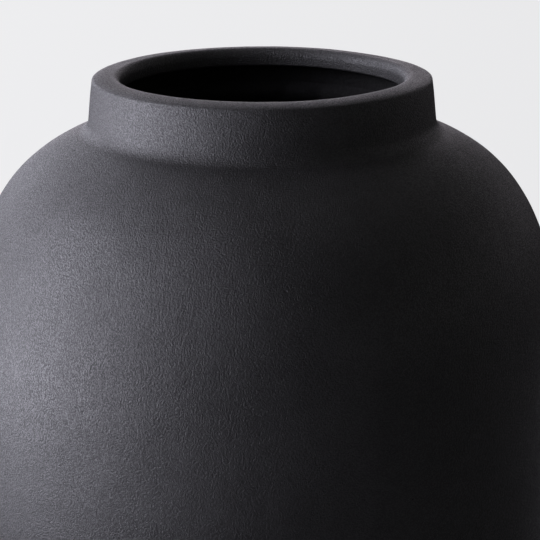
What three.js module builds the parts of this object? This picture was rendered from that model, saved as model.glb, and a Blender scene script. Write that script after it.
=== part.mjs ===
// A black clay pot: a full, square-shouldered body, a short upright collar and a thick lip.
// The potter forms it in sections, scores and slips their edges, and joins them while wet, so
// each section here is a solid of its own. Firing makes them one rigid pot, so nothing moves.
// Units are millimetres, +Z is up, and the origin is the centre of the foot's resting plane.
import * as THREE from "three";

// Body: a superellipse of revolution, with its own reach above and below the widest level.
const BODY_RADIUS = 141.4;
const BELLY_LEVEL = 120;
const REACH_ABOVE = 152.1;
const REACH_BELOW = 119;
const SQUARENESS = 3.38;
const WALL = 8;

// Base: a pressed dish with a flat floor, standing on a turned foot ring.
const FOOT_HEIGHT = 6;
const FOOT_RADIUS = 74;
const FOOT_WIDTH = 11;
const FOOT_FLARE = 2;
const FOOT_BEVEL = 1.2;
const FLOOR_LEVEL = 14;
const DISH_LEVEL = 30;

// Collar and lip.
const POT_HEIGHT = 290;
const CREASE_RADIUS = 82.2;
const CREASE_FILLET = 4.5;
const COLLAR_BORE = 73.6;
const COLLAR_TOP_LEVEL = 282.2;
const LIP_RADIUS = 79.9;
const LIP_BORE = 66.4;
const LIP_OUTER_ROUND = 2.4;
const LIP_INNER_ROUND = 3.6;
const LIP_UNDER_ROUND = 0.9;
const COLLAR_WALL = 7.9;

// Joints between sections: a ridge on the lower edge and a groove in the upper one.
const SLIP_GAP = 0.3;
const BODY_RIDGE = 2;
const LIP_RIDGE = 1.6;

// Clay coils pressed over the joints on the inside.
const COIL_THICKNESS = 3;
const COIL_HALF_HEIGHT = 6.5;
const COLLAR_COIL_DROP = 4.5;
const COLLAR_COIL_RISE = 6;

// Facets round the pot, along each body stretch, along each small curve, and half round a coil.
const SIDES = 48;
const BODY_STEPS = 10;
const DISH_STEPS = 5;
const CURVE_STEPS = 4;
const COIL_STEPS = 6;

const blackClay = new THREE.MeshStandardMaterial({ color: 0x1b1a1c, roughness: 0.62, metalness: 0 });
const rawClay = new THREE.MeshStandardMaterial({ color: 0x151416, roughness: 0.9, metalness: 0 });
const footClay = new THREE.MeshStandardMaterial({ color: 0x262527, roughness: 0.85, metalness: 0 });

// The wall's surface at an angle from the widest level, in radians, positive above it.
// An inset of 0 is the outside, and WALL is the inside.
function bodyPoint(angle, inset) {
  const reach = (angle < 0 ? REACH_BELOW : REACH_ABOVE) - inset;
  const power = 2 / SQUARENESS;
  const rise = Math.sign(angle) * reach * Math.abs(Math.sin(angle)) ** power;
  return new THREE.Vector2((BODY_RADIUS - inset) * Math.cos(angle) ** power, BELLY_LEVEL + rise);
}

function angleAtLevel(level, inset) {
  const rise = level - BELLY_LEVEL;
  const reach = (rise < 0 ? REACH_BELOW : REACH_ABOVE) - inset;
  return Math.sign(rise) * Math.asin((Math.abs(rise) / reach) ** (SQUARENESS / 2));
}

// The angle above the widest level where the surface has narrowed to a radius.
function angleAtRadius(radius, inset) {
  return Math.acos((radius / (BODY_RADIUS - inset)) ** (SQUARENESS / 2));
}

function bodyStretch(from, to, inset, steps = BODY_STEPS) {
  return Array.from({ length: steps + 1 }, (_, i) => {
    return bodyPoint(THREE.MathUtils.lerp(from, to, i / steps), inset);
  });
}

function levelStretch(from, to, inset, steps) {
  return bodyStretch(angleAtLevel(from, inset), angleAtLevel(to, inset), inset, steps);
}

// The three inner points of a joint's edge, from the outside in: a ridge in the middle of the wall.
function ridge(level, outerRadius, innerRadius, height) {
  const middle = (outerRadius + innerRadius) / 2;
  return [
    new THREE.Vector2(middle + height, level),
    new THREE.Vector2(middle, level + height),
    new THREE.Vector2(middle - height, level),
  ];
}

function bodyRidge(level) {
  const outer = bodyPoint(angleAtLevel(level, 0), 0).x;
  const inner = bodyPoint(angleAtLevel(level, WALL), WALL).x;
  return (lift) => ridge(level + lift, outer, inner, BODY_RIDGE);
}

// A quarter or part arc about a centre, angles in degrees.
function arc(radius, level, size, from, to) {
  const sweep = THREE.MathUtils.degToRad;
  return new THREE.Path().absarc(radius, level, size, sweep(from), sweep(to), to < from).getPoints(CURVE_STEPS / 2);
}

// Turns a closed outline about the pot's axis. It runs up the outside and down the inside.
function turned(name, outline, material) {
  const onAxis = outline[0].x === 0;
  const closed = onAxis ? outline : [...outline, outline[0].clone()];
  const geometry = new THREE.LatheGeometry(closed, SIDES).rotateX(Math.PI / 2);
  const mesh = new THREE.Mesh(geometry, material);
  mesh.name = name;
  return mesh;
}

function footRing() {
  const top = FOOT_HEIGHT - SLIP_GAP;
  const inner = FOOT_RADIUS - FOOT_WIDTH;
  return turned("foot_ring", [
    new THREE.Vector2(FOOT_RADIUS - FOOT_BEVEL, 0),
    new THREE.Vector2(FOOT_RADIUS, FOOT_BEVEL),
    new THREE.Vector2(FOOT_RADIUS, top / 2),
    new THREE.Vector2(FOOT_RADIUS + FOOT_FLARE, top),
    new THREE.Vector2(inner, top),
    new THREE.Vector2(inner + FOOT_BEVEL / 2, FOOT_BEVEL),
    new THREE.Vector2(inner + FOOT_BEVEL * 1.5, 0),
  ], footClay);
}

// The pressed base: flat underneath and inside, with its edge curving up to the wall.
function baseDish() {
  const floorAngle = angleAtLevel(FLOOR_LEVEL, WALL);
  return turned("base_dish", [
    new THREE.Vector2(0, FOOT_HEIGHT),
    ...levelStretch(FOOT_HEIGHT, DISH_LEVEL, 0, DISH_STEPS),
    ...bodyRidge(DISH_LEVEL)(0),
    ...bodyStretch(angleAtLevel(DISH_LEVEL, WALL), floorAngle, WALL, DISH_STEPS),
    new THREE.Vector2(0, FLOOR_LEVEL),
  ], rawClay);
}

function lowerWall() {
  const bottom = DISH_LEVEL + SLIP_GAP;
  return turned("lower_wall", [
    ...levelStretch(bottom, BELLY_LEVEL, 0),
    ...bodyRidge(BELLY_LEVEL)(0),
    ...levelStretch(BELLY_LEVEL, bottom, WALL),
    ...bodyRidge(DISH_LEVEL)(SLIP_GAP).reverse(),
  ], blackClay);
}

// The upper half of the body, up to the round opening that the collar stands over.
function shoulderWall() {
  const bottom = BELLY_LEVEL + SLIP_GAP;
  return turned("shoulder_wall", [
    ...bodyStretch(angleAtLevel(bottom, 0), angleAtRadius(COLLAR_BORE, 0), 0),
    ...bodyStretch(angleAtRadius(COLLAR_BORE, WALL), angleAtLevel(bottom, WALL), WALL),
    ...bodyRidge(BELLY_LEVEL)(SLIP_GAP).reverse(),
  ], blackClay);
}

function collarRadiusAt(level) {
  const crease = bodyPoint(angleAtRadius(CREASE_RADIUS, 0), 0).y;
  return THREE.MathUtils.mapLinear(level, crease, POT_HEIGHT, CREASE_RADIUS, LIP_RADIUS);
}

// The upright ring: its base is bevelled to sit on the shoulder, and a fillet closes the crease.
function collar() {
  const crease = bodyPoint(angleAtRadius(CREASE_RADIUS, 0), 0).y;
  const toeAngle = angleAtRadius(CREASE_RADIUS + CREASE_FILLET, -SLIP_GAP);
  const toe = bodyPoint(toeAngle, -SLIP_GAP);
  const filletTop = new THREE.Vector2(collarRadiusAt(crease + CREASE_FILLET), crease + CREASE_FILLET);
  const corner = new THREE.Vector2(CREASE_RADIUS, crease + SLIP_GAP);
  const fillet = new THREE.QuadraticBezierCurve(toe, corner, filletTop).getPoints(CURVE_STEPS);
  const top = new THREE.Vector2(collarRadiusAt(COLLAR_TOP_LEVEL), COLLAR_TOP_LEVEL);
  const inner = top.x - COLLAR_WALL;
  return turned("collar", [
    ...fillet,
    top,
    ...ridge(COLLAR_TOP_LEVEL, top.x, inner, LIP_RIDGE),
    new THREE.Vector2(inner, COLLAR_TOP_LEVEL),
    ...bodyStretch(angleAtRadius(COLLAR_BORE, -SLIP_GAP), toeAngle, -SLIP_GAP, CURVE_STEPS).slice(0, -1),
  ], blackClay);
}

// The thick lip: flush with the collar outside, and overhanging its bore inside.
function rimCoil() {
  const seat = COLLAR_TOP_LEVEL + SLIP_GAP;
  const outer = collarRadiusAt(seat);
  const inner = outer - COLLAR_WALL;
  const under = LIP_BORE + LIP_UNDER_ROUND;
  return turned("rim_coil", [
    new THREE.Vector2(outer, seat),
    ...arc(LIP_RADIUS - LIP_OUTER_ROUND, POT_HEIGHT - LIP_OUTER_ROUND, LIP_OUTER_ROUND, 0, 90),
    ...arc(LIP_BORE + LIP_INNER_ROUND, POT_HEIGHT - LIP_INNER_ROUND, LIP_INNER_ROUND, 90, 180),
    ...arc(under, seat + LIP_UNDER_ROUND, LIP_UNDER_ROUND, 180, 270),
    new THREE.Vector2(inner, seat),
    ...ridge(seat, outer, inner, LIP_RIDGE).reverse(),
  ], blackClay);
}

// A flattened coil of clay over a body joint, bulging into the pot by COIL_THICKNESS.
function bodySeamCoil(name, level) {
  const backInset = WALL + SLIP_GAP;
  const low = level - COIL_HALF_HEIGHT;
  const high = level + COIL_HALF_HEIGHT;
  const back = levelStretch(low, high, backInset, COIL_STEPS);
  const front = back.map((_, i) => {
    const share = i / COIL_STEPS;
    const bulge = COIL_THICKNESS * Math.sin(Math.PI * share);
    return bodyPoint(THREE.MathUtils.lerp(angleAtLevel(low, backInset), angleAtLevel(high, backInset), share),
      backInset + bulge);
  });
  return turned(name, [...back, ...front.slice(1, -1).reverse()], rawClay);
}

// The coil that closes the joint between the shoulder's opening and the collar, inside the mouth.
function collarSeamCoil() {
  const joint = bodyPoint(angleAtRadius(COLLAR_BORE, 0), 0).y;
  const low = joint - COLLAR_COIL_DROP;
  const high = joint + COLLAR_COIL_RISE;
  const back = collarRadiusAt(COLLAR_TOP_LEVEL) - COLLAR_WALL - SLIP_GAP;
  const front = Array.from({ length: COIL_STEPS - 1 }, (_, i) => {
    const share = (i + 1) / COIL_STEPS;
    const bulge = COIL_THICKNESS * Math.sin(Math.PI * share);
    return new THREE.Vector2(back - bulge, THREE.MathUtils.lerp(high, low, share));
  });
  return turned("collar_seam_coil", [
    new THREE.Vector2(back, low),
    new THREE.Vector2(back, high),
    ...front,
  ], rawClay);
}

const pot = new THREE.Group();
pot.add(
  footRing(),
  baseDish(),
  lowerWall(),
  shoulderWall(),
  collar(),
  rimCoil(),
  bodySeamCoil("base_seam_coil", DISH_LEVEL),
  bodySeamCoil("belly_seam_coil", BELLY_LEVEL),
  collarSeamCoil(),
);

export default pot;
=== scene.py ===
"""A hand-built black clay pot: its fine pieces, clay finishes and a plain studio, round the fixed frame.

Every length is in metres, but for the camera's lens and sensor, which are in millimetres. The pot's axis
is Z, and it stands on the plane Z = 0. Each section that the potter joined is a class, and takes its
place from the frame's box of the same section.
"""

import logging
import math
from collections.abc import Callable, Iterable
from dataclasses import dataclass, field
from enum import Enum

import bmesh
import bpy
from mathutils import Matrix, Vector, noise


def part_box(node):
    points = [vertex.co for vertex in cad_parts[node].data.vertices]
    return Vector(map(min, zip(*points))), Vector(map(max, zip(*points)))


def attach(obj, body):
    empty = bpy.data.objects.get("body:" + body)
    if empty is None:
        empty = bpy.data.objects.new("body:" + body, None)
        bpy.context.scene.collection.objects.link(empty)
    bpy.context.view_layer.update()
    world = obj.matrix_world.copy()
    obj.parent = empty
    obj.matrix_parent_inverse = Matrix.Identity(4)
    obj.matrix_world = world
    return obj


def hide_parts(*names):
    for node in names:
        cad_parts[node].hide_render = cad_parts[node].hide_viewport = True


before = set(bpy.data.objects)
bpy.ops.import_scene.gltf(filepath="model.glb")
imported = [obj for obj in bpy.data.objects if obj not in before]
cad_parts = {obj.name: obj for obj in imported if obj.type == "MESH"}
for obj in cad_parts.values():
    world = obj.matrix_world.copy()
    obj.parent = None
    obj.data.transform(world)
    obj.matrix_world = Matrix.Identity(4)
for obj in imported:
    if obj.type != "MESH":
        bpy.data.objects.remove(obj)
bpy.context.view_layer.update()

log = logging.getLogger("black_clay_pot")

Socket = bpy.types.NodeSocket
Sockets = dict[str, Socket]

MM = 0.001
UP = Vector((0, 0, 1))
SLIP_GAP = 0.3 * MM
TURN_STEPS = 384
OUTSIDE_STEP = 2.2 * MM
INSIDE_STEP = 4.0 * MM
CURVE_SAMPLES = 600
MERGE_GAP = 0.01 * MM
CRISP_ANGLE = math.radians(35)
LEANING = 0.05
MIX_FIRST_COLOUR, MIX_SECOND_COLOUR, MIX_COLOUR = 6, 7, 2


class Finish(Enum):
    """Which clay finish a face wears, as the number of its material slot on the piece."""

    SKIN = 0
    RAW = 1


class Slot(Enum):
    """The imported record's material slots."""

    SKIN = "black_clay"
    RAW = "raw_clay"
    FOOT = "foot_clay"


def smoothstep(low: float, high: float, value: float) -> float:
    """Eases from 0 at low to 1 at high.

    Args:
        low: where the rise starts.
        high: where it ends.
        value: where it is read.

    Returns:
        A share from 0 to 1.
    """
    share = min(1.0, max(0.0, (value - low) / (high - low)))
    return share * share * (3 - 2 * share)


def evenly(points: list[Vector], step: float) -> list[Vector]:
    """Spaces points evenly along a line.

    Args:
        points: the line, as closely spaced points.
        step: about how far apart the new points are.

    Returns:
        The line's two ends, with evenly spaced points between them.
    """
    reach = [0.0]
    for before, after in zip(points, points[1:]):
        reach.append(reach[-1] + (after - before).length)
    count = max(1, round(reach[-1] / step))
    placed = [points[0].copy()]
    index = 0
    for number in range(1, count):
        target = reach[-1] * number / count
        while reach[index + 1] < target:
            index += 1
        share = (target - reach[index]) / (reach[index + 1] - reach[index])
        placed.append(points[index].lerp(points[index + 1], share))
    return [*placed, points[-1].copy()]


def placed(name: str, data: bpy.types.ID) -> bpy.types.Object:
    """Puts a new object into the scene.

    Args:
        name: its name.
        data: its mesh, light or camera.

    Returns:
        The object.
    """
    made = bpy.data.objects.new(name, data)
    bpy.context.scene.collection.objects.link(made)
    return made


@dataclass(frozen=True)
class Section:
    """The cross-section that the whole pot shares: a superellipse body under an upright collar.

    Radii and levels come from the frame's boxes; the rest are the potter's own measures.
    """

    body_radius: float
    belly_level: float
    pot_height: float
    lip_seat: float
    dish_level: float
    foot_height: float
    foot_top_radius: float
    reach_above: float = 152.1 * MM
    reach_below: float = 119 * MM
    squareness: float = 3.38
    wall: float = 8 * MM
    floor_level: float = 14 * MM
    lip_radius: float = 79.9 * MM
    lip_bore: float = 66.4 * MM
    toe_radius: float = 88 * MM
    crease_radius: float = 82.2 * MM
    collar_bore: float = 73.0 * MM

    @classmethod
    def from_frame(cls) -> "Section":
        """Reads the section's radii and levels from the frame's boxes.

        Returns:
            The section.
        """
        shoulder_low, shoulder_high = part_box("shoulder_wall")
        rim_low, rim_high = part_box("rim_coil")
        lower_low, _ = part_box("lower_wall")
        dish_low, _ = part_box("base_dish")
        _, foot_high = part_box("foot_ring")
        return cls(
            body_radius=shoulder_high.x,
            belly_level=shoulder_low.z - SLIP_GAP,
            pot_height=rim_high.z,
            lip_seat=rim_low.z,
            dish_level=lower_low.z - SLIP_GAP,
            foot_height=dish_low.z,
            foot_top_radius=foot_high.x,
        )

    def body_point(self, angle: float, inset: float) -> Vector:
        """A point of the body's wall.

        Args:
            angle: radians from the widest level, positive above it.
            inset: depth into the wall, 0 on the outside.

        Returns:
            The point in the plane y = 0.
        """
        reach = (self.reach_below if angle < 0 else self.reach_above) - inset
        power = 2 / self.squareness
        rise = math.copysign(reach * abs(math.sin(angle)) ** power, angle)
        radius = (self.body_radius - inset) * math.cos(angle) ** power
        return Vector((radius, 0, self.belly_level + rise))

    def angle_at_level(self, level: float, inset: float) -> float:
        """The wall's angle at a level, for body_point.

        Args:
            level: the height.
            inset: depth into the wall.

        Returns:
            The angle in radians, negative below the widest level.
        """
        rise = level - self.belly_level
        reach = (self.reach_below if rise < 0 else self.reach_above) - inset
        return math.copysign(math.asin((abs(rise) / reach) ** (self.squareness / 2)), rise)

    def angle_at_radius(self, radius: float, inset: float) -> float:
        """The shoulder's angle where it has narrowed to a radius, for body_point."""
        return math.acos((radius / (self.body_radius - inset)) ** (self.squareness / 2))

    def stretch(self, start: float, end: float, inset: float, step: float) -> list[Vector]:
        """Evenly spaced points along the body's wall.

        Args:
            start: the first angle.
            end: the last angle.
            inset: depth into the wall.
            step: about how far apart the points are.

        Returns:
            The points, ends included.
        """
        shares = [i / CURVE_SAMPLES for i in range(CURVE_SAMPLES + 1)]
        return evenly([self.body_point(start + (end - start) * s, inset) for s in shares], step)

    def by_level(self, low: float, high: float, inset: float, step: float) -> list[Vector]:
        """The body's wall from one level to another, as stretch gives it."""
        start, end = self.angle_at_level(low, inset), self.angle_at_level(high, inset)
        return self.stretch(start, end, inset, step)

    @property
    def crease_level(self) -> float:
        """The level where the shoulder meets the collar."""
        return self.body_point(self.angle_at_radius(self.crease_radius, 0), 0).z

    def collar_radius(self, level: float) -> float:
        """The collar's outside radius, which narrows a little towards the lip."""
        share = (level - self.crease_level) / (self.pot_height - self.crease_level)
        return self.crease_radius + (self.lip_radius - self.crease_radius) * share


@dataclass(frozen=True)
class HandRelief:
    """How far the potter's hands left the clay from true: one smooth field, shared by every section.

    Neighbouring sections read the same field, so they still meet where they were joined.
    """

    section: Section
    oval: float = 0.30 * MM
    oval_turn: float = 0.9
    three_sided: float = 0.16 * MM
    three_sided_turn: float = -1.1
    lump: float = 0.24 * MM
    lump_pitch: float = 30 * MM
    dimple: float = 0.07 * MM
    dimple_pitch: float = 11 * MM
    ridge: float = 0.07 * MM
    ridge_pitch: float = 8.5 * MM
    collar_shift: Vector = field(default_factory=lambda: Vector((-0.1 * MM, 0, 0.3 * MM)))
    collar_tilt: float = 0.0024
    lip_wave: float = 0.41 * MM
    lip_wave_turn: float = -2.2
    collar_blend_below: float = 12 * MM
    collar_blend_above: float = 8 * MM
    settled_height: float = 26 * MM
    dimple_seed: Vector = field(default_factory=lambda: Vector((7.1, 3.3, 1.7)))
    ridge_seed: Vector = field(default_factory=lambda: Vector((0.4, 2.6, 5.2)))

    def outward(self, point: Vector) -> Vector:
        """The direction that a hand inside the pot would push the wall."""
        middle = Vector((0, 0, self.section.belly_level))
        return (point - middle).normalized()

    def swell(self, point: Vector) -> float:
        """How far the wall stands out from true.

        Args:
            point: a point of the true shape.

        Returns:
            The distance, negative where the wall is pressed in.
        """
        around = math.atan2(point.y, point.x)
        slow = self.oval * math.cos(2 * around - self.oval_turn)
        slow += self.three_sided * math.cos(3 * around - self.three_sided_turn)
        lumps = self.lump * noise.noise(point / self.lump_pitch)
        dimples = self.dimple * noise.noise(point / self.dimple_pitch + self.dimple_seed)
        turn = Vector((math.cos(around), math.sin(around), point.z / self.ridge_pitch))
        return slow + lumps + dimples + self.ridge * noise.noise(turn + self.ridge_seed)

    def settle(self, point: Vector) -> Vector:
        """Where a true point ends up.

        Args:
            point: a point of the true shape.

        Returns:
            The same point of the hand-made one.
        """
        moved = point + self.outward(point) * self.swell(point) * smoothstep(0, self.settled_height, point.z)
        crease = self.section.crease_level
        collar = smoothstep(crease - self.collar_blend_below, crease + self.collar_blend_above, point.z)
        around = math.atan2(point.y, point.x)
        wave = self.lip_wave * math.cos(2 * around - self.lip_wave_turn)
        return moved + collar * (self.collar_shift + UP * (self.collar_tilt * point.x + wave))


@dataclass
class Outline:
    """A closed outline in the plane y = 0, up the outside and down the inside, to be turned on the axis."""

    points: list[Vector] = field(default_factory=list)
    rounds: dict[int, float] = field(default_factory=dict)

    def run(self, points: Iterable[Vector]) -> "Outline":
        """Adds points that are already closely spaced."""
        self.points.extend(points)
        return self

    def corner(self, radius: float, level: float, rounding: float = 0.0) -> "Outline":
        """Adds one corner.

        Args:
            radius: its distance from the axis.
            level: its height.
            rounding: how far its round reaches along each side, or 0 for a sharp one.

        Returns:
            This outline.
        """
        if rounding:
            self.rounds[len(self.points)] = rounding
        self.points.append(Vector((radius, 0, level)))
        return self

    def turned(self, name: str, longest: float, round_steps: int = 6) -> bmesh.types.BMesh:
        """Rounds the corners, cuts up the long sides and turns the outline about the axis.

        Args:
            name: the piece's name, for the message when it doesn't close.
            longest: a side longer than this is cut into equal ones.
            round_steps: the sides in each round.

        Returns:
            A closed bmesh, with its faces pointing out.
        """
        mesh = bmesh.new()
        verts = [mesh.verts.new(point) for point in self.points]
        on_axis = verts[0].co.x == 0 and verts[-1].co.x == 0
        pairs = list(zip(verts, verts[1:])) + ([] if on_axis else [(verts[-1], verts[0])])
        for pair in pairs:
            mesh.edges.new(pair)
        for index, rounding in self.rounds.items():
            bmesh.ops.bevel(mesh, geom=[verts[index]], offset=rounding, segments=round_steps,
                            profile=0.5, affect="VERTICES", material=-1)
        for edge in list(mesh.edges):
            cuts = math.ceil(edge.calc_length() / longest) - 1
            if cuts > 0:
                bmesh.ops.subdivide_edges(mesh, edges=[edge], cuts=cuts)
        bmesh.ops.spin(mesh, geom=mesh.verts[:] + mesh.edges[:], axis=UP, cent=(0, 0, 0),
                       angle=2 * math.pi, steps=TURN_STEPS, use_merge=True)
        bmesh.ops.remove_doubles(mesh, verts=mesh.verts[:], dist=MERGE_GAP)
        bmesh.ops.recalc_face_normals(mesh, faces=mesh.faces[:])
        if any(not edge.is_manifold for edge in mesh.edges):
            raise ValueError(f"{name} isn't closed")
        return mesh


class Graph:
    """A node tree that is being wired, for a material or a node group."""

    def __init__(self, tree: bpy.types.NodeTree) -> None:
        """Keeps the tree."""
        self.tree = tree

    @classmethod
    def bare(cls, owner: bpy.types.Material | bpy.types.World) -> "Graph":
        """Empties the node tree of a material or a world, ready to be wired.

        Args:
            owner: the material or the world.

        Returns:
            The graph.
        """
        owner.use_nodes = True
        owner.node_tree.nodes.clear()
        return cls(owner.node_tree)

    def node(
        self, kind: str, inputs: dict[str | int, object] | None = None, **settings: object
    ) -> bpy.types.Node:
        """Adds a node.

        Args:
            kind: its type, without the ShaderNode in front where it has one.
            inputs: a socket to link from, or a plain value, for each named or numbered input.
            settings: the node's own settings.

        Returns:
            The node.
        """
        made = self.tree.nodes.new(kind if kind.startswith("NodeGroup") else f"ShaderNode{kind}")
        for key, value in settings.items():
            setattr(made, key, value)
        for key, value in (inputs or {}).items():
            self.feed(made.inputs[key], value)
        return made

    def feed(self, socket: Socket, value: object) -> None:
        """Links a socket, or sets it to a plain value.

        Args:
            socket: the input.
            value: the output to link from, or the value.
        """
        if isinstance(value, Socket):
            self.tree.links.new(value, socket)
        else:
            socket.default_value = value

    def math(self, operation: str, first: object, second: object = 0.0) -> Socket:
        """The result of a Math node."""
        return self.node("Math", {0: first, 1: second}, operation=operation).outputs[0]

    def times(self, first: object, second: object) -> Socket:
        """The product of two values."""
        return self.math("MULTIPLY", first, second)

    def plus(self, first: object, second: object) -> Socket:
        """The sum of two values."""
        return self.math("ADD", first, second)

    def place(self) -> Socket:
        """The shaded point, in the object's own coordinates."""
        return self.node("TexCoord").outputs["Object"]

    def ease(self, value: object, low: float, high: float, start: float = 0.0, end: float = 1.0) -> Socket:
        """A smooth Map Range from low and high to start and end."""
        inputs = {"Value": value, "From Min": low, "From Max": high, "To Min": start, "To Max": end}
        return self.node("MapRange", inputs, interpolation_type="SMOOTHSTEP").outputs["Result"]

    def blend(self, share: object, first: object, second: object) -> Socket:
        """The colour between two others, which is the first at share 0 and the second at 1."""
        inputs = {"Factor": share, MIX_FIRST_COLOUR: first, MIX_SECOND_COLOUR: second}
        return self.node("Mix", inputs, data_type="RGBA").outputs[MIX_COLOUR]

    def noise(self, place: object, scale: object, detail: float = 2.0, roughness: float = 0.5) -> Socket:
        """The value of a Noise texture."""
        inputs = {"Vector": place, "Scale": scale, "Detail": detail, "Roughness": roughness}
        return self.node("TexNoise", inputs).outputs["Fac"]


@dataclass(frozen=True)
class Effect:
    """One surface effect that several finishes use, kept as a shader node group."""

    name: str
    inputs: dict[str, float]
    outputs: tuple[str, ...]
    wire: Callable[[Graph, Sockets], Sockets]

    def group(self) -> bpy.types.NodeTree:
        """The effect's node group, made the first time that it is asked for.

        Returns:
            The group's tree.
        """
        found = bpy.data.node_groups.get(self.name)
        if found:
            return found
        tree = bpy.data.node_groups.new(self.name, "ShaderNodeTree")
        for name, value in self.inputs.items():
            socket = tree.interface.new_socket(name, in_out="INPUT", socket_type="NodeSocketFloat")
            socket.default_value = value
        for name in self.outputs:
            tree.interface.new_socket(name, in_out="OUTPUT", socket_type="NodeSocketFloat")
        graph = Graph(tree)
        entry = graph.node("NodeGroupInput")
        made = self.wire(graph, {name: entry.outputs[name] for name in self.inputs})
        graph.node("NodeGroupOutput", dict(made))
        return tree

    def use(self, graph: Graph, **values: float) -> Sockets:
        """Places the effect in a material.

        Args:
            graph: the material's tree.
            values: its inputs by name, with _ for each space.

        Returns:
            Its outputs by name.
        """
        placed = graph.node("Group", node_tree=self.group())
        for key, value in values.items():
            graph.feed(placed.inputs[key.replace("_", " ")], value)
        return {name: placed.outputs[name] for name in self.outputs}


def wire_grain(graph: Graph, given: Sockets) -> Sockets:
    """The pebbled skin of fine clay: small soft bumps, a little longer up the wall than round it.

    Args:
        graph: the group's tree.
        given: the group's inputs.

    Returns:
        The group's outputs.
    """
    stretch = (1.0, 1.0, 0.94)
    hollow_count, hollow_depth, dust_count = 0.8, -0.35, 3.1
    place = graph.place()
    drawn = graph.node("Mapping", {"Vector": place, "Scale": stretch}).outputs["Vector"]
    count = graph.math("DIVIDE", 1.0, given["Pebble Size"])
    pebbles = graph.noise(drawn, count, 2.0, 0.6)
    hollow_inputs = {"Vector": drawn, "Scale": graph.times(count, hollow_count), "Smoothness": 0.8}
    cells = graph.node("TexVoronoi", hollow_inputs, feature="SMOOTH_F1")
    dust = graph.noise(place, graph.times(count, dust_count), 1.0, 0.5)
    height = graph.plus(pebbles, graph.times(cells.outputs["Distance"], hollow_depth))
    height = graph.plus(height, graph.times(dust, given["Dust"]))
    return {"Height": height, "Tone": graph.ease(pebbles, 0.3, 0.7)}


def wire_pinholes(graph: Graph, given: Sockets) -> Sockets:
    """Sparse small pits, where grit fell out or a bubble broke.

    Args:
        graph: the group's tree.
        given: the group's inputs.

    Returns:
        The group's outputs.
    """
    ragged_count, ragged_reach, smallest = 1400.0, 0.3 * MM, 0.4
    place = graph.place()
    count = graph.math("DIVIDE", 1.0, given["Spacing"])
    ragged = graph.node("TexNoise", {"Vector": place, "Scale": ragged_count, "Detail": 1.0}).outputs["Color"]
    nudge = graph.node("VectorMath", {0: ragged, "Scale": ragged_reach}, operation="SCALE").outputs[0]
    shaken = graph.node("VectorMath", {0: place, 1: nudge}, operation="ADD").outputs[0]
    cells = graph.node("TexVoronoi", {"Vector": shaken, "Scale": count}, feature="F1")
    pick = graph.node("SeparateColor", {"Color": cells.outputs["Color"]})
    gap = graph.times(cells.outputs["Distance"], given["Spacing"])
    size = graph.times(given["Pit Size"], graph.plus(pick.outputs["Green"], smallest))
    pit = graph.ease(graph.math("DIVIDE", gap, size), 1.0, 0.45)
    chosen = graph.math("LESS_THAN", pick.outputs["Red"], given["Share"])
    return {"Pit": graph.times(pit, chosen)}


def wire_smoke(graph: Graph, given: Sockets) -> Sockets:
    """Slow clouds of deeper and paler black, from the smoke of the kiln.

    Args:
        graph: the group's tree.
        given: the group's inputs.

    Returns:
        The group's outputs.
    """
    fleck_count = 11.0
    place = graph.place()
    count = graph.math("DIVIDE", 1.0, given["Cloud Size"])
    cloud_inputs = {"Vector": place, "Scale": count, "Detail": 3.0, "Distortion": 0.8}
    clouds = graph.node("TexNoise", cloud_inputs).outputs["Fac"]
    flecks = graph.noise(place, graph.times(count, fleck_count), 2.0, 0.6)
    return {"Cloud": graph.ease(clouds, 0.35, 0.68), "Mottle": graph.ease(flecks, 0.36, 0.64)}


def wire_turning(graph: Graph, given: Sockets) -> Sockets:
    """Faint level lines, left by the scraper as the pot was turned.

    Args:
        graph: the group's tree.
        given: the group's inputs.

    Returns:
        The group's outputs.
    """
    flatten = (0.02, 0.02, 1.0)
    patch_count, faintest = 22.0, 0.25
    place = graph.place()
    count = graph.math("DIVIDE", 1.0, given["Line Pitch"])
    flat = graph.node("Mapping", {"Vector": place, "Scale": flatten}).outputs["Vector"]
    lines = graph.noise(flat, count, 3.0, 0.65)
    patches = graph.ease(graph.noise(place, patch_count, 1.0), 0.42, 0.66)
    return {"Height": graph.times(lines, graph.plus(patches, faintest))}


def wire_wear(graph: Graph, given: Sockets) -> Sockets:
    """Where hands and shelves have rubbed the edges, broken up by the grain.

    Args:
        graph: the group's tree.
        given: the group's inputs.

    Returns:
        The group's outputs.
    """
    grit_count, raggedness = 260.0, 1.3
    place = graph.place()
    edge = graph.node("Attribute", attribute_name="edge").outputs["Fac"]
    grit = graph.math("SUBTRACT", graph.noise(place, grit_count, 3.0, 0.65), 0.5)
    rubbed = graph.plus(edge, graph.times(grit, raggedness))
    return {"Mask": graph.times(graph.ease(rubbed, 0.45, 1.0), given["Amount"])}


GRAIN = Effect("clay_grain", {"Pebble Size": 1.6 * MM, "Dust": 0.2}, ("Height", "Tone"), wire_grain)
PINHOLES = Effect(
    "pinholes", {"Spacing": 11 * MM, "Pit Size": 0.5 * MM, "Share": 0.4}, ("Pit",), wire_pinholes
)
SMOKE = Effect("kiln_smoke", {"Cloud Size": 90 * MM}, ("Cloud", "Mottle"), wire_smoke)
TURNING = Effect("turning_lines", {"Line Pitch": 1.1 * MM}, ("Height",), wire_turning)
WEAR = Effect("edge_wear", {"Amount": 1.0}, ("Mask",), wire_wear)


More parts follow.
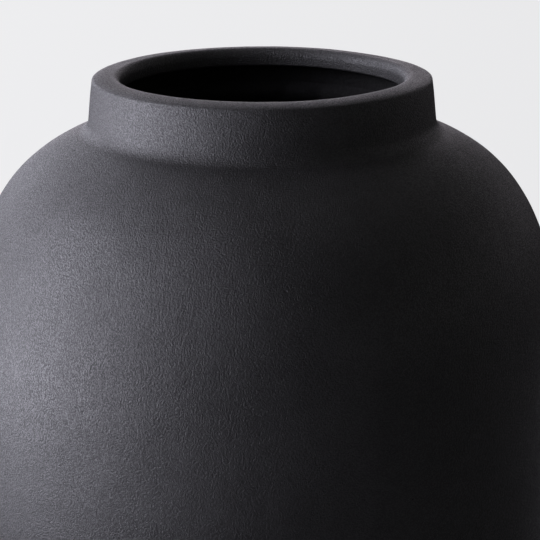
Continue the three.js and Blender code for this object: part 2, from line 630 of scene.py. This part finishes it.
@dataclass(frozen=True)
class ClayFinish:
    """One clay surface: its blacks, its gloss, and how deep its grain, pits and lines are."""

    name: str
    deep: tuple[float, float, float]
    pale: tuple[float, float, float]
    worn: tuple[float, float, float]
    roughness: float
    roughness_play: float
    worn_roughness: float
    pebble: float
    grain_depth: float
    pit_depth: float
    pit_share: float
    line_depth: float
    wear: float
    gloss: float = 0.5
    burnish: float = 0.0
    burnish_roughness: float = 0.4
    refraction: float = 1.5
    # The near black painted into the pinholes, as the shade inside them.
    pit_shade_black: tuple[float, float, float] = (0.002, 0.002, 0.002)
    pit_dullness: float = 0.4

    def material(self) -> bpy.types.Material:
        """The finish as a material, made the first time that it is asked for.

        Returns:
            The material.
        """
        found = bpy.data.materials.get(self.name)
        if found:
            return found
        made = bpy.data.materials.new(self.name)
        graph = Graph.bare(made)
        grain = GRAIN.use(graph, Pebble_Size=self.pebble)
        pits = PINHOLES.use(graph, Share=self.pit_share)["Pit"]
        smoke = SMOKE.use(graph)
        lines = TURNING.use(graph)["Height"]
        wear = WEAR.use(graph, Amount=self.wear)["Mask"]
        shader = graph.node("BsdfPrincipled")
        graph.feed(shader.inputs["Base Color"], self.colour(graph, grain["Tone"], smoke, pits, wear))
        graph.feed(shader.inputs["Roughness"], self.dullness(graph, grain["Tone"], smoke, pits, wear))
        graph.feed(shader.inputs["Normal"], self.surface(graph, grain["Height"], lines, pits))
        graph.feed(shader.inputs["Coat Weight"], self.polish(graph, grain["Tone"], pits))
        shader.inputs["Coat Roughness"].default_value = self.burnish_roughness
        shader.inputs["IOR"].default_value = self.refraction
        shader.inputs["Specular IOR Level"].default_value = self.gloss
        graph.node("OutputMaterial", {"Surface": shader.outputs["BSDF"]})
        return made

    def colour(self, graph: Graph, tone: Socket, smoke: Sockets, pits: Socket, wear: Socket) -> Socket:
        """The clay's blacks, clouded by smoke, with painted shade in the pits and the grain's hollows,
        painted light on the grain's tops, and paler where it is worn.

        Args:
            graph: the material's tree.
            tone: the grain's tone.
            smoke: the smoke's clouds and mottle.
            pits: the pinholes.
            wear: the worn edges.

        Returns:
            The base colour.
        """
        cloud_part, mottle_part, grain_shade_part = 0.5, 0.25, 0.25
        share = graph.plus(graph.times(smoke["Cloud"], cloud_part), graph.times(smoke["Mottle"], mottle_part))
        # Painted shade and light: the base colour is darker in the grain's hollows and paler on its tops.
        share = graph.plus(share, graph.times(tone, grain_shade_part))
        clay = graph.blend(share, (*self.deep, 1), (*self.pale, 1))
        rubbed = graph.blend(wear, clay, (*self.worn, 1))
        # Painted shade: the pinholes are painted near black, as the shade inside them.
        return graph.blend(pits, rubbed, (*self.pit_shade_black, 1))

    def dullness(self, graph: Graph, tone: Socket, smoke: Sockets, pits: Socket, wear: Socket) -> Socket:
        """The roughness: duller in the grain's hollows and pits, smoother where it is worn.

        Args:
            graph: the material's tree.
            tone: the grain's tone.
            smoke: the smoke's clouds and mottle.
            pits: the pinholes.
            wear: the worn edges.

        Returns:
            The roughness.
        """
        play = self.roughness_play
        hollows = graph.ease(tone, 0.0, 1.0, self.roughness + play, self.roughness - play)
        clouds = graph.times(graph.math("SUBTRACT", smoke["Cloud"], 0.5), play)
        worn = graph.times(wear, self.worn_roughness - self.roughness)
        dull = graph.plus(graph.plus(hollows, clouds), worn)
        return graph.plus(dull, graph.times(pits, self.pit_dullness))

    def polish(self, graph: Graph, tone: Socket, pits: Socket) -> Socket:
        """The thin shine that rubbing left on the tops of the grain, and nowhere in the pits."""
        tops = graph.ease(tone, 0.35, 0.85, 0.0, self.burnish)
        return graph.times(tops, graph.math("SUBTRACT", 1.0, pits))

    def surface(self, graph: Graph, grain: Socket, lines: Socket, pits: Socket) -> Socket:
        """The small relief that is finer than the mesh.

        Args:
            graph: the material's tree.
            grain: the grain's height.
            lines: the turning lines' height.
            pits: the pinholes.

        Returns:
            The normal.
        """
        height = graph.times(grain, self.grain_depth)
        height = graph.plus(height, graph.times(lines, self.line_depth))
        height = graph.math("SUBTRACT", height, graph.times(pits, self.pit_depth))
        return graph.node("Bump", {"Height": height, "Strength": 1.0, "Distance": 1.0}).outputs["Normal"]


SKIN = ClayFinish(
    name="black_clay_skin",
    deep=(0.010, 0.0095, 0.0098),
    pale=(0.0265, 0.0252, 0.026),
    worn=(0.045, 0.044, 0.045),
    roughness=0.42,
    roughness_play=0.10,
    worn_roughness=0.30,
    pebble=0.66 * MM,
    grain_depth=0.55 * MM,
    pit_depth=0.24 * MM,
    pit_share=0.4,
    line_depth=0.03 * MM,
    wear=0.6,
    gloss=0.42,
    burnish=0.45,
)
# Unburnished raw clay inside the pot, with its blacks also painted darker as the shade that falls inside the
# pot.
RAW = ClayFinish(
    name="raw_clay_inside_painted_shade",
    deep=(0.0045, 0.0044, 0.0046),
    pale=(0.0085, 0.0082, 0.0085),
    worn=(0.012, 0.012, 0.012),
    roughness=0.85,
    roughness_play=0.06,
    worn_roughness=0.75,
    pebble=1.3 * MM,
    grain_depth=0.40 * MM,
    pit_depth=0.35 * MM,
    pit_share=0.5,
    line_depth=0.05 * MM,
    wear=0.2,
    gloss=0.2,
)
FOOT = ClayFinish(
    name="scuffed_foot_clay",
    deep=(0.016, 0.0158, 0.016),
    pale=(0.030, 0.0295, 0.029),
    worn=(0.085, 0.082, 0.078),
    roughness=0.66,
    roughness_play=0.07,
    worn_roughness=0.5,
    pebble=1.1 * MM,
    grain_depth=0.4 * MM,
    pit_depth=0.3 * MM,
    pit_share=0.5,
    line_depth=0.03 * MM,
    wear=0.9,
)


@dataclass
class ClaySection:
    """One section of the pot, turned from an outline, given the hand's relief, and dressed."""

    section: Section
    relief: HandRelief
    name: str = ""
    node: str = ""
    slot: Slot = Slot.SKIN
    finishes: tuple[ClayFinish, ...] = (SKIN, RAW)
    longest: float = INSIDE_STEP
    worn_rings: tuple[tuple[float, float, float], ...] = ()

    def outline(self) -> Outline:
        """The section's closed outline."""
        raise NotImplementedError

    def finish_of(self, face: bmesh.types.BMFace) -> Finish:
        """The finish of a face: raw where it looks at the pot's axis.

        Args:
            face: the face, with its normal.

        Returns:
            The finish.
        """
        middle = face.calc_center_median()
        radial = Vector((middle.x, middle.y, 0)).normalized()
        return Finish.RAW if face.normal.dot(radial) < -LEANING else Finish.SKIN

    def shape(self, mesh: bmesh.types.BMesh) -> None:
        """Any shaping of the section's own, before the shared relief."""

    def build(self) -> bpy.types.Object:
        """Makes the piece and hands it to the frame.

        Returns:
            The finished object.
        """
        mesh = self.outline().turned(self.name, self.longest)
        self.shape(mesh)
        for face in mesh.faces:
            face.material_index = self.finish_of(face).value if len(self.finishes) > 1 else 0
            face.smooth = True
        self.mark_edges(mesh)
        self.mark_wear(mesh)
        for vert in mesh.verts:
            vert.co = self.relief.settle(vert.co)
        data = bpy.data.meshes.new(self.name)
        mesh.to_mesh(data)
        mesh.free()
        for finish in self.finishes:
            data.materials.append(finish.material())
        piece = placed(self.name, data)
        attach(piece, "root")
        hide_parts(self.node)
        log.info("%s: %d faces, for %s", self.name, len(data.polygons), self.node)
        return piece

    def mark_edges(self, mesh: bmesh.types.BMesh) -> None:
        """Keeps the section's true corners crisp, so that a joint's hidden face doesn't shade the skin."""
        for edge in mesh.edges:
            edge.smooth = edge.calc_face_angle(0.0) < CRISP_ANGLE

    def mark_wear(self, mesh: bmesh.types.BMesh) -> None:
        """Writes the edge attribute: 1 on each worn ring, and less away from it.

        Args:
            mesh: the section.
        """
        layer = mesh.verts.layers.float.new("edge")
        for vert in mesh.verts:
            radius = math.hypot(vert.co.x, vert.co.y)
            for ring_radius, ring_level, reach in self.worn_rings:
                away = math.hypot(radius - ring_radius, vert.co.z - ring_level) / reach
                vert[layer] = max(vert[layer], math.exp(-away * away))


@dataclass
class FootRing(ClaySection):
    """The turned ring that the pot stands on."""

    name: str = "foot_ring_turned"
    node: str = "foot_ring"
    slot: Slot = Slot.FOOT
    finishes: tuple[ClayFinish, ...] = (FOOT,)
    longest: float = 1.6 * MM
    width: float = 11 * MM
    flare: float = 2 * MM
    inner_slope: float = 0.6 * MM
    waist_share: float = 0.55
    round_outside: float = 1.6 * MM
    round_waist: float = 1.2 * MM
    round_inside: float = 1.4 * MM
    outer_wear: float = 2.2 * MM
    inner_wear: float = 1.8 * MM
    inner_wear_inset: float = 1 * MM

    def __post_init__(self) -> None:
        """Places the wear on the ring's two lower edges."""
        outer = self.section.foot_top_radius - self.flare
        inner = outer - self.width + self.inner_wear_inset
        self.worn_rings = ((outer, 0, self.outer_wear), (inner, 0, self.inner_wear))

    def outline(self) -> Outline:
        """A low ring, flat below, and wider where it meets the base.

        Returns:
            The outline.
        """
        top = self.section.foot_height
        outer = self.section.foot_top_radius - self.flare
        inner = outer - self.width
        return (
            Outline()
            .corner(outer, 0, self.round_outside)
            .corner(outer, top * self.waist_share, self.round_waist)
            .corner(self.section.foot_top_radius, top)
            .corner(inner, top)
            .corner(inner + self.inner_slope, 0, self.round_inside)
        )


@dataclass
class BaseDish(ClaySection):
    """The pressed dish: a flat underside, a curved edge, and a floor with the fingers' rings in it."""

    name: str = "base_dish_pressed"
    node: str = "base_dish"
    ring_depth: float = 0.45 * MM
    ring_pitch: float = 10 * MM
    rings_fade: tuple[float, float] = (70 * MM, 90 * MM)
    floor_reach: float = 1 * MM

    def outline(self) -> Outline:
        """Out along the underside, up the edge, across the joint, and back over the floor.

        Returns:
            The outline.
        """
        section = self.section
        outline = Outline().corner(0, section.foot_height)
        outline.run(section.by_level(section.foot_height, section.dish_level, 0, OUTSIDE_STEP))
        inside = section.by_level(section.dish_level, section.floor_level, section.wall, INSIDE_STEP)
        outline.run(inside[:-1])
        outline.corner(inside[-1].x, section.floor_level)
        return outline.corner(0, section.floor_level)

    def finish_of(self, face: bmesh.types.BMFace) -> Finish:
        """Raw where the face looks up."""
        return Finish.RAW if face.normal.z > LEANING else Finish.SKIN

    def shape(self, mesh: bmesh.types.BMesh) -> None:
        """Presses shallow finger rings into the floor.

        Args:
            mesh: the dish.
        """
        section = self.section
        for vert in mesh.verts:
            if vert.co.z > section.floor_level - self.floor_reach:
                radius = math.hypot(vert.co.x, vert.co.y)
                fade = 1 - smoothstep(*self.rings_fade, radius)
                vert.co.z += self.ring_depth * fade * math.sin(2 * math.pi * radius / self.ring_pitch)


@dataclass
class WallSection(ClaySection):
    """A band of the body's wall, with the fingers' rings on its inside."""

    finger_depth: float = 0.4 * MM
    finger_pitch: float = 12 * MM
    finger_fade: float = 8 * MM

    def fingered(self, points: list[Vector]) -> list[Vector]:
        """Waves the inside of the wall, dying out at its two ends.

        Args:
            points: the true inside, which is moved.

        Returns:
            The same points.
        """
        ends = (points[0].z, points[-1].z)
        low, high = min(ends), max(ends)
        for point in points:
            fade = smoothstep(low, low + self.finger_fade, point.z)
            fade *= 1 - smoothstep(high - self.finger_fade, high, point.z)
            point.x += self.finger_depth * fade * math.sin(2 * math.pi * point.z / self.finger_pitch)
        return points


@dataclass
class LowerWall(WallSection):
    """The lower half of the body."""

    name: str = "lower_wall_scraped"
    node: str = "lower_wall"

    def outline(self) -> Outline:
        """From the base up to the widest level, and back down the inside.

        Returns:
            The outline.
        """
        section = self.section
        low, high = section.dish_level, section.belly_level
        inside = self.fingered(section.by_level(high, low, section.wall, INSIDE_STEP))
        return Outline().run(section.by_level(low, high, 0, OUTSIDE_STEP)).run(inside)


@dataclass
class ShoulderWall(WallSection):
    """The upper half of the body, which turns in to the collar."""

    name: str = "shoulder_wall_scraped"
    node: str = "shoulder_wall"

    def outline(self) -> Outline:
        """From the widest level up to the collar's toe, and back down the inside.

        Returns:
            The outline.
        """
        section = self.section
        toe = section.angle_at_radius(section.toe_radius, 0)
        neck = section.angle_at_radius(section.collar_bore, section.wall)
        inside = self.fingered(section.stretch(neck, 0, section.wall, INSIDE_STEP))
        return Outline().run(section.stretch(0, toe, 0, OUTSIDE_STEP)).run(inside)


@dataclass
class Collar(ClaySection):
    """The upright ring, whose foot is smoothed into the shoulder."""

    name: str = "collar_smoothed"
    node: str = "collar"
    longest: float = 1.6 * MM
    crease_round: float = 4.5 * MM

    def outline(self) -> Outline:
        """From the toe up the outside to the lip's seat, and back down the bore.

        Returns:
            The outline.
        """
        section = self.section
        toe = section.body_point(section.angle_at_radius(section.toe_radius, 0), 0)
        neck = section.body_point(section.angle_at_radius(section.collar_bore, section.wall), section.wall)
        seat = section.lip_seat
        return (
            Outline()
            .corner(toe.x, toe.z)
            .corner(section.crease_radius, section.crease_level, self.crease_round)
            .corner(section.collar_radius(seat), seat)
            .corner(section.collar_bore, seat)
            .corner(neck.x, neck.z)
        )


@dataclass
class RimCoil(ClaySection):
    """The thick lip, flush with the collar outside and standing in over its bore.

    From a crest near its inner edge, the top falls away outwards in a long soft round, and inwards in a
    shorter and deeper one.
    """

    name: str = "rim_coil_rounded"
    node: str = "rim_coil"
    finishes: tuple[ClayFinish, ...] = (SKIN,)
    longest: float = 1.2 * MM
    outer_drop: float = 2.0 * MM
    outer_squareness: float = 1.9
    inner_width: float = 3.8 * MM
    inner_drop: float = 4.6 * MM
    inner_squareness: float = 2.0
    under_round: float = 0.9 * MM
    hang: float = 1.0 * MM
    worn_reach: float = 2.2 * MM
    round_steps: int = 12

    @property
    def crest(self) -> float:
        """The crest's distance from the axis."""
        return self.section.lip_bore + self.inner_width

    def __post_init__(self) -> None:
        """Places the wear along the lip's crest, where hands hold it."""
        self.worn_rings = ((self.crest, self.section.pot_height, self.worn_reach),)

    def rounded(self, edge: float, drop: float, squareness: float) -> list[Vector]:
        """A quarter of a superellipse, from the crest down to an upright edge.

        Args:
            edge: the edge's distance from the axis.
            drop: how far it falls.
            squareness: 2 for an ellipse, and more for a squarer round.

        Returns:
            The points after the crest, and down to the edge.
        """
        power, points = 2 / squareness, []
        for step in range(1, self.round_steps + 1):
            turn = math.pi / 2 * step / self.round_steps
            radius = self.crest + (edge - self.crest) * math.sin(turn) ** power
            fall = drop - drop * max(math.cos(turn), 0.0) ** power
            points.append(Vector((radius, 0, self.section.pot_height - fall)))
        return points

    def outline(self) -> Outline:
        """Up from the seat, over the crest, and down the inner round to an edge that hangs inside the collar.

        Returns:
            The outline.
        """
        section = self.section
        outer = self.rounded(section.lip_radius, self.outer_drop, self.outer_squareness)
        inner = self.rounded(section.lip_bore, self.inner_drop, self.inner_squareness)
        tucked = section.collar_bore - 2 * SLIP_GAP
        return (
            Outline()
            .corner(section.collar_radius(section.lip_seat), section.lip_seat)
            .run(reversed(outer))
            .corner(self.crest, section.pot_height)
            .run(inner)
            .corner(section.lip_bore, section.lip_seat - self.hang, self.under_round)
            .corner(tucked, section.lip_seat - self.hang / 2)
            .corner(tucked, section.lip_seat)
        )


@dataclass
class SeamCoil(ClaySection):
    """A coil of clay, pressed flat with the thumb over a joint inside the pot."""

    slot: Slot = Slot.RAW
    finishes: tuple[ClayFinish, ...] = (RAW,)
    longest: float = 1.6 * MM
    thickness: float = 2.6 * MM
    front_steps: int = 12
    presses: int = 30
    press_depth: float = 0.7 * MM
    unevenness: float = 2.5
    uneven_pace: float = 2.2

    def spine(self) -> tuple[Vector, Vector]:
        """The coil's lowest and highest point, where it dies into the wall.

        Returns:
            The two points.
        """
        section, inset = self.section, self.section.wall + SLIP_GAP
        low, high = (section.angle_at_level(end.z, inset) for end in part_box(self.node))
        return section.body_point(low, inset), section.body_point(high, inset)

    def outline(self) -> Outline:
        """A flat back against the wall, and a low round front.

        Returns:
            The outline.
        """
        low, high = self.spine()
        side = high - low
        inward = Vector((-side.z, 0, side.x)).normalized()
        shares = [i / self.front_steps for i in range(self.front_steps + 1)]
        front = [high.lerp(low, s) + inward * (self.thickness * math.sin(math.pi * s)) for s in shares]
        return Outline().run([low]).run(front[:-1])

    def shape(self, mesh: bmesh.types.BMesh) -> None:
        """Presses a row of thumb marks into the coil's front.

        Args:
            mesh: the coil.
        """
        low, high = self.spine()
        back = min(low.x, high.x)
        for vert in mesh.verts:
            radius = math.hypot(vert.co.x, vert.co.y)
            around = math.atan2(vert.co.y, vert.co.x)
            uneven = noise.noise(Vector((math.cos(around), math.sin(around), low.z)) * self.uneven_pace)
            press = max(0.0, math.cos(self.presses * around + self.unevenness * uneven))
            proud = smoothstep(0, self.thickness, back - radius)
            vert.co += Vector((vert.co.x, vert.co.y, 0)).normalized() * self.press_depth * proud * press


@dataclass
class CollarSeamCoil(SeamCoil):
    """The coil inside the mouth, where the collar stands on the shoulder."""

    name: str = "collar_seam_coil_pressed"
    node: str = "collar_seam_coil"
    presses: int = 22

    def spine(self) -> tuple[Vector, Vector]:
        """The coil's ends on the collar's bore.

        Returns:
            The two points.
        """
        low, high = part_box(self.node)
        radius = self.section.collar_bore - SLIP_GAP
        return Vector((radius, 0, low.z)), Vector((radius, 0, high.z))


@dataclass
class Pot:
    """The whole pot: every section, in the order that the potter joined them."""

    section: Section = field(default_factory=Section.from_frame)

    def build(self) -> list[bpy.types.Object]:
        """Builds each section.

        Returns:
            The pieces.
        """
        relief = HandRelief(self.section)
        sections = [
            FootRing(self.section, relief),
            BaseDish(self.section, relief),
            LowerWall(self.section, relief),
            ShoulderWall(self.section, relief),
            Collar(self.section, relief),
            RimCoil(self.section, relief),
            SeamCoil(self.section, relief, "base_seam_coil_pressed", "base_seam_coil"),
            SeamCoil(self.section, relief, "belly_seam_coil_pressed", "belly_seam_coil"),
            CollarSeamCoil(self.section, relief),
        ]
        return [each.build() for each in sections]


@dataclass(frozen=True)
class SoftBand:
    """Soft studio panels of one brightness, each facing the pot from its own direction.

    Azimuths turn from the camera's side towards the pot's left. Angles are in degrees.
    """

    name: str
    azimuths: tuple[float, ...]
    elevation: float
    spread: tuple[float, float]
    radiance: float
    tint: tuple[float, float, float] = (1.0, 1.0, 1.0)
    distance: float = 1.7
    aim: Vector = field(default_factory=lambda: Vector((0, 0, 0.15)))

    def panel(
        self, azimuth: float, place: Vector, facing: Vector, size: tuple[float, float]
    ) -> bpy.types.Object:
        """Makes one panel.

        Args:
            azimuth: the direction it stands in, for its name.
            place: its middle.
            facing: the way that it shines.
            size: its width and height.

        Returns:
            The light. Its power is worked out from how bright its face is to look.
        """
        data = bpy.data.lights.new(f"{self.name}_{azimuth:.0f}", "AREA")
        data.shape = "RECTANGLE"
        data.size, data.size_y = size
        data.color = self.tint
        data.energy = self.radiance * math.pi * size[0] * size[1]
        light = placed(data.name, data)
        light.location = place
        light.rotation_euler = facing.to_track_quat("-Z", "Y").to_euler()
        light.visible_camera = False
        return light

    @staticmethod
    def level_way(azimuth: float) -> Vector:
        """The level direction from the pot at an azimuth."""
        turn = math.radians(azimuth)
        return Vector((-math.sin(turn), -math.cos(turn), 0))

    def build(self) -> None:
        """Makes the panels, square to the line from the pot."""
        across, tall = (2 * self.distance * math.tan(math.radians(angle / 2)) for angle in self.spread)
        rise = math.radians(self.elevation)
        for azimuth in self.azimuths:
            away = self.level_way(azimuth) * math.cos(rise) + UP * math.sin(rise)
            self.panel(azimuth, self.aim + away * self.distance, -away, (across, tall))


@dataclass(frozen=True)
class TableGlow(SoftBand):
    """Where the window falls on the table: panels that lie on the floor and shine up.

    The spread is a panel's width and length, in metres.
    """

    elevation: float = 0.0
    spread: tuple[float, float] = (0.55, 0.9)
    radiance: float = 1.0
    distance: float = 1.05
    lift: float = 6 * MM

    def build(self) -> None:
        """Makes the panels, with their long side pointing away from the pot."""
        for azimuth in self.azimuths:
            middle = self.level_way(azimuth) * self.distance + UP * self.lift
            panel = self.panel(azimuth, middle, UP, self.spread)
            panel.rotation_euler = (math.pi, 0, -math.radians(azimuth))


@dataclass(frozen=True)
class Studio:
    """A pale floor that melts into a pale surround, soft lights, and the camera.

    How far the rim stands above the middle of the view is a share of the view's width.
    """

    floor_radius: float = 0.95
    floor_solid: float = 0.5
    floor_gone: float = 0.931
    floor_sides: int = 96
    paper_fibres: float = 900.0
    paper_relief: float = 0.03 * MM
    floor_tone: tuple[float, float, float] = (0.88, 0.88, 0.89)
    floor_bounce: tuple[float, float, float] = (0.25, 0.25, 0.25)
    # The surround's painted light on the window's side, and its painted shade on the other.
    surround_painted_lit: tuple[float, float, float] = (0.850, 0.850, 0.866)
    surround_painted_shade: tuple[float, float, float] = (0.815, 0.815, 0.828)
    surround_ease: float = 0.1
    daylight: tuple[float, float, float] = (0.96, 0.955, 1.09)
    bounced: tuple[float, float, float] = (1.06, 0.98, 1.08)
    ambient: float = 0.01
    view_distance: float = 1.5
    rim_elevation: float = math.radians(10.45)
    lens: float = 212.7
    sensor: float = 36.0
    rim_above_middle: float = 0.3623
    axis_right: float = 0.0036

    def build_floor(self) -> None:
        """A round pale floor, whose edge fades out."""
        mesh = bmesh.new()
        bmesh.ops.create_circle(mesh, cap_ends=True, segments=self.floor_sides, radius=self.floor_radius)
        data = bpy.data.meshes.new("studio_floor")
        mesh.to_mesh(data)
        mesh.free()
        paper = bpy.data.materials.new("pale_paper")
        graph = Graph.bare(paper)
        place = graph.place()
        away = graph.node("VectorMath", {0: place}, operation="LENGTH").outputs["Value"]
        fibre = graph.noise(place, self.paper_fibres, 3.0, 0.6)
        bump = graph.node("Bump", {"Height": fibre, "Distance": self.paper_relief})
        seen = graph.node("LightPath").outputs["Is Camera Ray"]
        tone = graph.blend(seen, (*self.floor_bounce, 1), (*self.floor_tone, 1))
        matt = graph.node("BsdfDiffuse", {"Color": tone, "Normal": bump.outputs["Normal"]})
        clear = graph.node("BsdfTransparent")
        fade = graph.ease(away, self.floor_solid, self.floor_gone)
        mixed = graph.node("MixShader", {0: fade, 1: matt.outputs[0], 2: clear.outputs[0]})
        graph.node("OutputMaterial", {"Surface": mixed.outputs[0]})
        data.materials.append(paper)
        placed("studio_floor", data)

    def build_surround(self) -> None:
        """A pale surround to look at, which lights the pot only dimly."""
        world = bpy.data.worlds.new("pale_surround")
        graph = Graph.bare(world)
        seen = graph.node("LightPath").outputs["Is Camera Ray"]
        dim = graph.node("Background", {"Color": (1, 1, 1, 1), "Strength": self.ambient})
        way = graph.node("SeparateXYZ", {0: graph.node("TexCoord").outputs["Generated"]}).outputs["X"]
        # Painted light: the surround is painted paler on the left, towards the window, and darker on the
        # right.
        share = graph.ease(way, -self.surround_ease, self.surround_ease)
        tone = graph.blend(share, (*self.surround_painted_lit, 1), (*self.surround_painted_shade, 1))
        pale = graph.node("Background", {"Color": tone, "Strength": 1.0})
        both = graph.node("MixShader", {0: seen, 1: dim.outputs[0], 2: pale.outputs[0]})
        graph.node("OutputWorld", {"Surface": both.outputs[0]})
        bpy.context.scene.world = world

    def build_lights(self) -> None:
        """One wide window on the left, the table that it falls on, and weak bounced light from elsewhere."""
        day, bounce = self.daylight, self.bounced
        upright, low, high = (27, 41), (28, 20), (34, 20)
        for band in (
            SoftBand("window", (90,), 21.5, upright, 7.9, day),
            SoftBand("window_side", (60, 120), 21.5, upright, 1.9, day),
            SoftBand("window_end", (150,), 21.5, upright, 1.65, day),
            SoftBand("window_head", (60, 120, 180), 54, high, 0.27, bounce),
            SoftBand("front_left", (30,), 11, low, 0.23, day),
            SoftBand("backdrop", (180,), 8, low, 1.0, bounce),
            SoftBand("back_wall", (210, 240), 11, low, 0.24, bounce),
            SoftBand("back_wall_head", (180,), 32, low, 0.35, bounce),
            SoftBand("right_wall", (270, 300, 330), 11, low, 0.25),
            SoftBand("right_wall_head", (210, 240, 270), 32, low, 0.08),
            SoftBand("ceiling_edge", (240, 300), 54, high, 0.13),
            SoftBand("ceiling", (0,), 89, (44, 44), 0.13),
            TableGlow("table_middle", (90,), radiance=18, tint=day),
            TableGlow("table_front", (60,), radiance=8, tint=day),
            TableGlow("table_back", (120,), radiance=1.9, tint=day),
        ):
            band.build()

    def build_camera(self) -> None:
        """A long lens, looking a little down on the rim."""
        rim = Vector((self.axis_right, 0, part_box("rim_coil")[1].z))
        data = bpy.data.cameras.new("camera")
        data.lens, data.sensor_width = self.lens, self.sensor
        camera = placed("camera", data)
        rise = self.rim_elevation
        camera.location = rim + Vector((0, -math.cos(rise), math.sin(rise))) * self.view_distance
        below = math.atan(self.rim_above_middle * self.sensor / self.lens)
        camera.rotation_euler = (math.pi / 2 - rise - below, 0, 0)
        bpy.context.scene.camera = camera

    def build(self) -> None:
        """Sets up the camera, the floor, the surround and the lights."""
        self.build_camera()
        self.build_floor()
        self.build_surround()
        self.build_lights()
        bpy.context.scene.view_settings.view_transform = "Standard"


def main() -> None:
    """Builds the studio, then the pot."""
    logging.basicConfig(level=logging.INFO, format="%(name)s: %(message)s")
    Studio().build()
    pieces = Pot().build()
    log.info("%d pieces", len(pieces))


if __name__ == "__main__":
    main()
